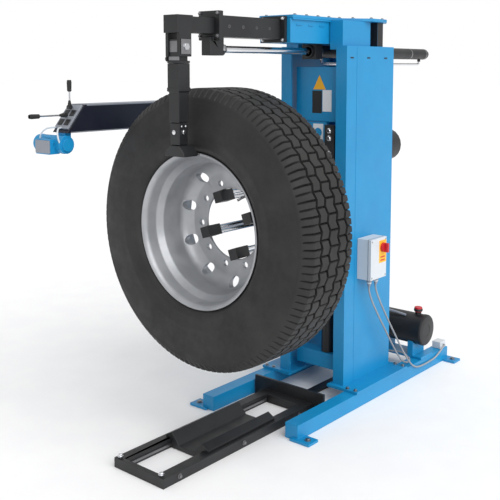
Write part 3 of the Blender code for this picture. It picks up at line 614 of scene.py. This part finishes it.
def make_housing_details(paint):
    """The cover's bolts and flanges, the housing's welds, the posts' sleeves and the wear frames' bolts."""
    under, top = (corner[2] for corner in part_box("housing_cover"))
    places = [(x, y, top) for x in (-0.074, 0.074) for y in (-0.42, -0.34, -0.26, -0.18, -0.10)]
    rear = ((0.11, -0.05), (0.160, 0.02), (0.160, 0.11), (0.07, 0.190))
    places += [(side * x, y, top) for side in (-1, 1) for x, y in rear]
    bolts("cover_bolts", places, (0, 0, 1), "machine", paint["steel"], 0.0065, 0.004)
    flanges = []
    welds = []
    for side in (-1, 1):
        flanges.append(span((side * 0.0798, side * 0.0882), (-0.448, 0.20), (under - 0.006, under)))
        for y in (-0.40, -0.32, -0.24, -0.16):
            welds.append(span((side * 0.0795, side * 0.0835), (y - 0.018, y + 0.018), (1.632, 1.636)))
    blocks("cover_flanges", flanges, "machine", paint["blue"])
    blocks("housing_welds", welds, "machine", paint["blue"])
    for side, name in SIDES:
        sleeve = span((side * 0.1175, side * 0.1625), (0.0695, 0.1155), (1.5535, under - 0.0005))
        blocks(f"post_sleeve_{name}", [sleeve], "machine", paint["black"], 0.002)
    for name, corner, way in (("front", 0, -1), ("rear", 1, 1)):
        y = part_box(f"wear_frame_{name}")[corner][1]
        places = [(x, y, ARM_Z + up) for x in (-0.052, 0.052) for up in (-0.043, 0.043)]
        bolts(f"{name}_frame_bolts", places, (0, way, 0), "machine", paint["chrome"], 0.005)


def make_track_details(paint):
    """Bright guide strips in the floor track, and the bolts at its front corners and on its side."""
    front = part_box("floor_track")[0][1]
    guides = [span((side * 0.0805, side * 0.0885), (-1.205, -0.405), (0.010, 0.020)) for side in (-1, 1)]
    blocks("track_guides", guides, "machine", paint["steel"])
    corners = [(side * 0.108, front + 0.0112, 0.0442) for side in (-1, 1)]
    bolts("track_corner_bolts", corners, (0, 0, 1), "machine", paint["chrome"], 0.0082)
    places = [(0.130, y, 0.019) for y in (-1.15, -0.80, -0.45)]
    bolts("track_side_bolts", places, (1, 0, 0), "machine", paint["steel"], 0.007)


def make_side_details(paint):
    """On each side the anchor and foot bolts, the column's seam, black painted shade in the column's slots,
    and a black sheet of painted shade in the rail's open end.
    """
    for side, name in SIDES:
        anchors = [(side * 0.292, end * 0.6075, 0.010) for end in (-1, 1)]
        bolts(f"anchor_bolts_{name}", anchors, (0, 0, 1), "machine", paint["steel"], 0.010)
        feet = [(side * x, y, 0.0753) for x in (0.205, 0.245) for y in (-0.200, 0.200)]
        bolts(f"foot_bolts_{name}", feet, (0, 0, 1), "machine", paint["steel"], 0.007)
        seam = span((side * COLUMN_FACE, side * (COLUMN_FACE + 0.0008)), (-0.1125, -0.1105), (0.076, 1.548))
        blocks(f"column_seam_{name}", [seam], "machine", paint["blue"], 0.0003)
        # The slots are thin black blocks of painted shade on the column's skin, standing in for the shade
        # inside the openings.
        skin = (side * COLUMN_FACE, side * (COLUMN_FACE + 0.001))
        slots = [span(skin, (y - 0.012, y + 0.012), (1.500, 1.506)) for y in (-0.15, -0.02, 0.12)]
        blocks(f"column_slot_shade_{name}", slots, "machine", paint["black"], 0.0003)
        # A black sheet of painted shade closes the rail's open end, standing in for the shade inside the
        # hollow rail.
        rail_end_shade_sheet = span((side * 0.1995, side * 0.2495), (0.6235, 0.6265), (0.0125, 0.0565))
        blocks(f"rail_end_shade_sheet_{name}", [rail_end_shade_sheet], "machine", paint["black"])


def make_plate_details(paint):
    """Two plain labels on the plate between the columns, and a plain yellow triangle above them."""
    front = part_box("apron_plate")[0][1]
    for name, tone, xs, zs in (
        ("dark_label", "black", (-0.031, 0.020), (1.262, 1.360)),
        ("pale_label", "white", (0.024, 0.072), (1.270, 1.364)),
    ):
        blocks(name, [span(xs, (front - 0.0012, front), zs)], "machine", paint[tone], 0.0004)
    thickness = 0.0014
    shape = bmesh.new()
    outline = ((-0.026, 1.366), (0.040, 1.366), (0.007, 1.428))
    face = shape.faces.new([shape.verts.new((x, front - thickness, z)) for x, z in outline])
    grown = bmesh.ops.extrude_face_region(shape, geom=[face])["geom"]
    back = [item for item in grown if isinstance(item, bmesh.types.BMVert)]
    bmesh.ops.translate(shape, vec=(0, thickness, 0), verts=back)
    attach(add_mesh("yellow_marker", shape, paint["yellow"]), "machine")


def make_carriage_details(paint):
    """Guide-block bolts, the plate with its plain label, and the drive motor's fins and grille."""
    block_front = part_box("guide_block_right")[0][1]
    heights = (1.062, 1.094, 1.158, 1.190)
    places = [(side * 0.0885, block_front + 0.0068, z) for side in (-1, 1) for z in heights]
    bolts("guide_bolts", places, (0, -1, 0), "carriage", paint["chrome"])
    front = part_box("carriage_frame")[0][1]
    plate = span((-0.052, 0.050), (front - 0.0025, front - 0.0003), (1.030, 1.223))
    blocks("carriage_plate", [plate], "carriage", paint["blue"])
    label = span((-0.020, 0.034), (front - 0.0035, front - 0.0023), (1.080, 1.216))
    blocks("carriage_label", [label], "carriage", paint["white"], 0.0003)
    disc = [(0, 0.020), (0.0006, 0.020), (0.0008, 0.019)]
    discs = [(disc, (0.007, front - 0.0034, z), (0, -1, 0)) for z in (1.118, 1.178)]
    lathes("label_discs", discs, "carriage", paint["blue"], 28)
    fin = [(0, 0.0026), (0.180, 0.0026)]
    fins = [(fin, (x, 0.240, DRIVE_MOTOR_Z + z), (0, 1, 0)) for x, z in around(16, 0.0735)]
    lathes("motor_fins", fins, "carriage", paint["black"], 8)
    hood = [(0, 0.060), (0.0035, 0.060), (0.0035, 0.040), (0.0015, 0.038), (0.0015, 0.018), (0.0035, 0.016)]
    lathes("motor_grille", [(hood, (0, 0.4485, DRIVE_MOTOR_Z), (0, 1, 0))], "carriage", paint["steel"])


def make_arm_details(paint):
    """Plugs and bolts on the square arm, the piston rod's nut, and the cylinder's rings."""
    plug = [(0, 0.0060), (0.0008, 0.0060), (0.0008, 0.0042), (0.0002, 0.0040)]
    stations = (-0.78, -0.70, -0.62, -0.54)
    plugs = [(plug, (side * 0.0398, y, ARM_Z), (side, 0, 0)) for side in (-1, 1) for y in stations]
    lathes("arm_plugs", plugs, "arm", paint["steel"], 16)
    places = [(x, -0.850, z) for x in (-0.045, 0.045) for z in (1.578, 1.662)]
    bolts("collar_bolts", places, (0, -1, 0), "arm", paint["steel"], 0.005)
    nut = [(0, 0.020), (0.004, 0.0225), (0.016, 0.0225), (0.020, 0.020)]
    lathes("rod_nut", [(nut, (0, -0.7895, ARM_CYLINDER_Z), (0, 1, 0))], "arm", paint["steel"], 6)
    ring = [(0, 0.0273), (0.008, 0.0273)]
    rings = [(ring, (0, y, ARM_CYLINDER_Z), (0, 1, 0)) for y in (-0.160, 0.620, 0.768)]
    lathes("barrel_rings", rings, "machine", paint["steel"])


def make_head_details(paint):
    """Plates, knob and faces at the tilting head, and the post's collar, screws, marks and shoe lip."""
    across = (HEAD_Y - 0.024, HEAD_Y + 0.024)
    plates = [span((side * 0.0362, side * 0.0392), across, (1.508, 1.562)) for side in (-1, 1)]
    blocks("knuckle_plates", plates, "arm", paint["steel"])
    knob = [(0, 0.0065), (0.010, 0.0065), (0.011, 0.0050), (0.016, 0.0050), (0.017, 0.0100), (0.027, 0.0100)]
    knob.append((0.029, 0.0080))
    lathes("head_knob", [(knob, (-0.0238, -1.018, 1.492), (-1, 0, 0))], "tool_head", paint["belt"], 20)
    lower_face = span((-0.0245, 0.0245), (-1.0352, -1.0302), (1.486, 1.500))
    upper_face = span((-0.0225, 0.0225), (-1.0346, -1.0335), (1.516, 1.556))
    blocks("head_faces", [lower_face, upper_face], "tool_head", paint["steel"])
    collar = span((-0.0305, 0.0305), (HEAD_Y - 0.0305, HEAD_Y + 0.0305), (1.375, 1.389))
    blocks("post_collar", [collar], "tool", paint["black"], 0.0015)
    screw = [(0, 0.0085), (0.005, 0.0085), (0.006, 0.0070)]
    side_screw = (screw, (0.0224, HEAD_Y, 1.228), (1, 0, 0))
    front_screw = (screw, (0, HEAD_Y - 0.0224, 1.228), (0, -1, 0))
    lathes("holder_screws", [side_screw, front_screw], "tool", paint["chrome"], 20)
    mark = [(0, 0.003), (0.0008, 0.003)]
    marks = [(mark, (0.0224, HEAD_Y + shift, 1.250), (1, 0, 0)) for shift in (-0.010, 0.010)]
    lathes("holder_marks", marks, "tool", paint["white"], 12)
    lip = span((-0.050, 0.050), (-0.9600, -0.9535), (1.1405, 1.1500))
    blocks("shoe_lip", [lip], "tool", paint["steel"], 0.002)


def make_box_details(paint):
    """The switch box's lid seam, its plain plate with two bars, its screws and its glands."""
    low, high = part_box("switch_box")
    face = high[0]
    proud = 0.0012
    seam = span((face - 0.016, face - 0.013), (low[1] - proud, high[1] + proud), (0.5345, high[2] + proud))
    blocks("box_lid_seam", [seam], "machine", paint["panel"], 0.0004)
    plate = span((face - 0.0005, face + 0.0004), (-0.025, 0.033), (0.604, 0.704))
    blocks("switch_plate", [plate], "machine", paint["yellow"], 0.0002)
    marks = [span((face, face + 0.0007), (-0.014, 0.022), (z, z + 0.006)) for z in (0.612, 0.626)]
    blocks("switch_marks", marks, "machine", paint["red"], 0.0002)
    screw = [(0, 0.0038), (0.0008, 0.0038), (0.0012, 0.0030)]
    screws = [(screw, (face, y, z), (1, 0, 0)) for y in (-0.082, 0.028) for z in (0.546, 0.706)]
    lathes("box_screws", screws, "machine", paint["panel"], 14)
    gland = [(0, 0.0128), (0.008, 0.0128), (0.010, 0.0112), (0.016, 0.0100), (0.026, 0.0070), (0.032, 0.0052)]
    glands = [(gland, (BOX_GLAND_X, y, 0.5300), (0, 0, -1)) for y in BOX_GLANDS_Y]
    lathes("box_glands", glands, "machine", paint["panel"], 18)


def make_power_details(paint):
    """The oil tank's bands, end, return pipe and cap skirt, and the pump motor's fins."""
    band = [(0, 0.0752), (0.014, 0.0752)]
    bands = [(band, (x, TANK_Y, TANK_Z), (1, 0, 0)) for x in (0.005, 0.232)]
    lathes("tank_bands", bands, "machine", paint["black"], 40)
    end = [(0, 0.070), (0.003, 0.0695), (0.0045, 0.066), (0.0045, 0.030), (0.003, 0.028)]
    lathes("tank_end", [(end, (0.2495, TANK_Y, TANK_Z), (1, 0, 0))], "machine", paint["black"], 40)
    pipe = [(0.16, 0.372, 0.264), (0.10, 0.366, 0.272), (0.03, 0.362, 0.276), (-0.03, 0.372, 0.268)]
    pipe.append((-0.05, 0.380, 0.262))
    tube("return_pipe", pipe, 0.006, "machine", paint["panel"])
    skirt = [(0, 0.0205), (0.004, 0.0212), (0.010, 0.0212), (0.012, 0.0195)]
    lathes("cap_skirt", [(skirt, (0.205, TANK_Y, 0.2845), (0, 0, 1))], "cap", paint["black"], 24)
    fin = [(0, 0.0030), (0.17, 0.0030)]
    fins = [(fin, (-0.285, TANK_Y + y, TANK_Z + z), (1, 0, 0)) for y, z in around(20, 0.0665)]
    lathes("pump_motor_fins", fins, "machine", paint["black"], 8)


def make_boom_details(paint):
    """Pale strips along the boom's edges, and the square sockets on its sloping panel."""
    low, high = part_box("console_boom")
    strip = 0.0012
    rear = low[1] + 0.925
    top_edge = ((low[0] - strip, -0.985, high[2] - 0.005), (high[0] + strip, rear, high[2] + strip))
    low_edge = ((low[0] - strip, -1.068, low[2] - 0.0005), (high[0] + strip, rear, low[2] + 0.004))
    blocks("boom_edges", [top_edge, low_edge], "boom", paint["panel"], 0.0006)
    start = Vector((0, -0.996, 1.311))
    lean = (Vector((0, -1.085, 1.200)) - start).normalized()
    out = Vector((0, lean.z, -lean.y))
    turn = Matrix(((1, 0, 0), (0, lean.y, out.y), (0, lean.z, out.z)))
    half = 0.014
    shape = bmesh.new()
    for x in (LEVER_X - 0.020, LEVER_X + 0.020):
        for along in (0.050, 0.096):
            middle = start + lean * along + out * 0.0085 + Vector((x, 0, 0))
            for corner in put_block(shape, (-half, -half, -0.003), (half, half, 0.0022)):
                corner.co = turn @ corner.co + middle
    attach(soften(add_mesh("panel_sockets", shape, paint["black"]), 0.001), "boom")


def make_lever_details(paint):
    """Grip, boot and bright stem of each lever."""
    boot = [(0.006, 0.0085), (0.012, 0.0070), (0.014, 0.0078), (0.020, 0.0055), (0.022, 0.0060)]
    boot.append((0.028, 0.0040))
    for name, body, place, along, reach in (
        ("upright", "lever_up", (LEVER_X, -1.034, 1.301), (0, 0, 1), 0.110),
        ("forward", "lever_out", (LEVER_X, -1.059, 1.270), (0, -1, 0), 0.170),
    ):
        grip = [(reach - 0.047, 0.0060), (reach - 0.044, 0.0090), (reach - 0.010, 0.0098)]
        grip += [(reach - 0.003, 0.0090), (reach, 0.0060)]
        lathes(f"{name}_grip", [(grip, place, along)], body, paint["belt"], 20)
        lathes(f"{name}_boot", [(boot, place, along)], body, paint["belt"], 20)
        stem = [(0.02, 0.0038), (reach - 0.045, 0.0038)]
        lathes(f"{name}_stem", [(stem, place, along)], body, paint["chrome"], 14)


def make_unit_details(paint):
    """Two short hoses, a lid and two bands on the capsule under the boom, and the cap on the link's post."""
    bends = ((0.018, -1.092, 1.222), (0.040, -1.125, 1.215), (0.058, -1.138, 1.185), (0.060, -1.130, 1.160))
    for side, name in reversed(SIDES):
        hose = [(LEVER_X + side * x, y, z) for x, y, z in bends]
        tube(f"unit_hose_{name}", hose, 0.0035, "boom", paint["grey"])
    lid = span((-0.664, -0.573), (-1.1625, -1.156), (1.122, 1.174))
    blocks("unit_lid", [lid], "boom", paint["panel"], 0.002)
    band = [(0, 0.0368), (0.006, 0.0368)]
    bands = [(band, (x, BOOM_UNIT_Y, BOOM_UNIT_Z), (1, 0, 0)) for x in (-0.700, -0.560)]
    lathes("unit_bands", bands, "boom", paint["blue"], 40)
    bolts("link_cap", [(-0.240, -0.110, 1.190)], (0, 0, 1), "machine", paint["steel"], 0.016)


# ---------------------------------------------------------------- stage


FLOOR_REACH = 60.0
FLOOR_Z = -0.0006
SKY_LIGHT = 0.68
SKY_SEEN = 1.0


def make_sky():
    """A plain white sky that is seen brighter than it lights."""
    world = bpy.data.worlds.new("studio")
    world.use_nodes = True
    tree = world.node_tree
    lit = tree.nodes["Background"]
    seen = tree.nodes.new("ShaderNodeBackground")
    for sky, strength in ((lit, SKY_LIGHT), (seen, SKY_SEEN)):
        sky.inputs["Color"].default_value = (1, 1, 1, 1)
        sky.inputs["Strength"].default_value = strength
    path = tree.nodes.new("ShaderNodeLightPath")
    choice = tree.nodes.new("ShaderNodeMixShader")
    tree.links.new(path.outputs["Is Camera Ray"], choice.inputs["Fac"])
    tree.links.new(lit.outputs["Background"], choice.inputs[1])
    tree.links.new(seen.outputs["Background"], choice.inputs[2])
    tree.links.new(choice.outputs["Shader"], tree.nodes["World Output"].inputs["Surface"])
    bpy.context.scene.world = world
    bpy.context.scene.view_settings.view_transform = "Standard"


def make_stage(paint):
    """A pale floor under the white sky, and one broad sun from the right."""
    shape = bmesh.new()
    ends = ((-1, -1), (1, -1), (1, 1), (-1, 1))
    shape.faces.new([shape.verts.new((x * FLOOR_REACH, y * FLOOR_REACH, FLOOR_Z)) for x, y in ends])
    add_mesh("floor", shape, paint["floor"])
    make_sky()
    data = bpy.data.lights.new("sun", "SUN")
    data.energy = 2.5
    data.angle = math.radians(70)
    sun = bpy.data.objects.new("sun", data)
    sun.rotation_euler = Vector((-0.85, 0.22, -0.78)).to_track_quat("-Z", "Y").to_euler()
    bpy.context.collection.objects.link(sun)


make_camera()
paints = make_finishes()
make_lead("motor_lead_cable", MOTOR_ROUTE, "motor_lead", paints)
make_lead("supply_lead_cable", SUPPLY_ROUTE, "supply_lead", paints)
dress_frame(paints)
make_tyre(paints)
make_rim(paints)
make_chuck_details(paints)
make_housing_details(paints)
make_track_details(paints)
make_side_details(paints)
make_plate_details(paints)
make_carriage_details(paints)
make_arm_details(paints)
make_head_details(paints)
make_box_details(paints)
make_power_details(paints)
make_boom_details(paints)
make_lever_details(paints)
make_unit_details(paints)
make_stage(paints)
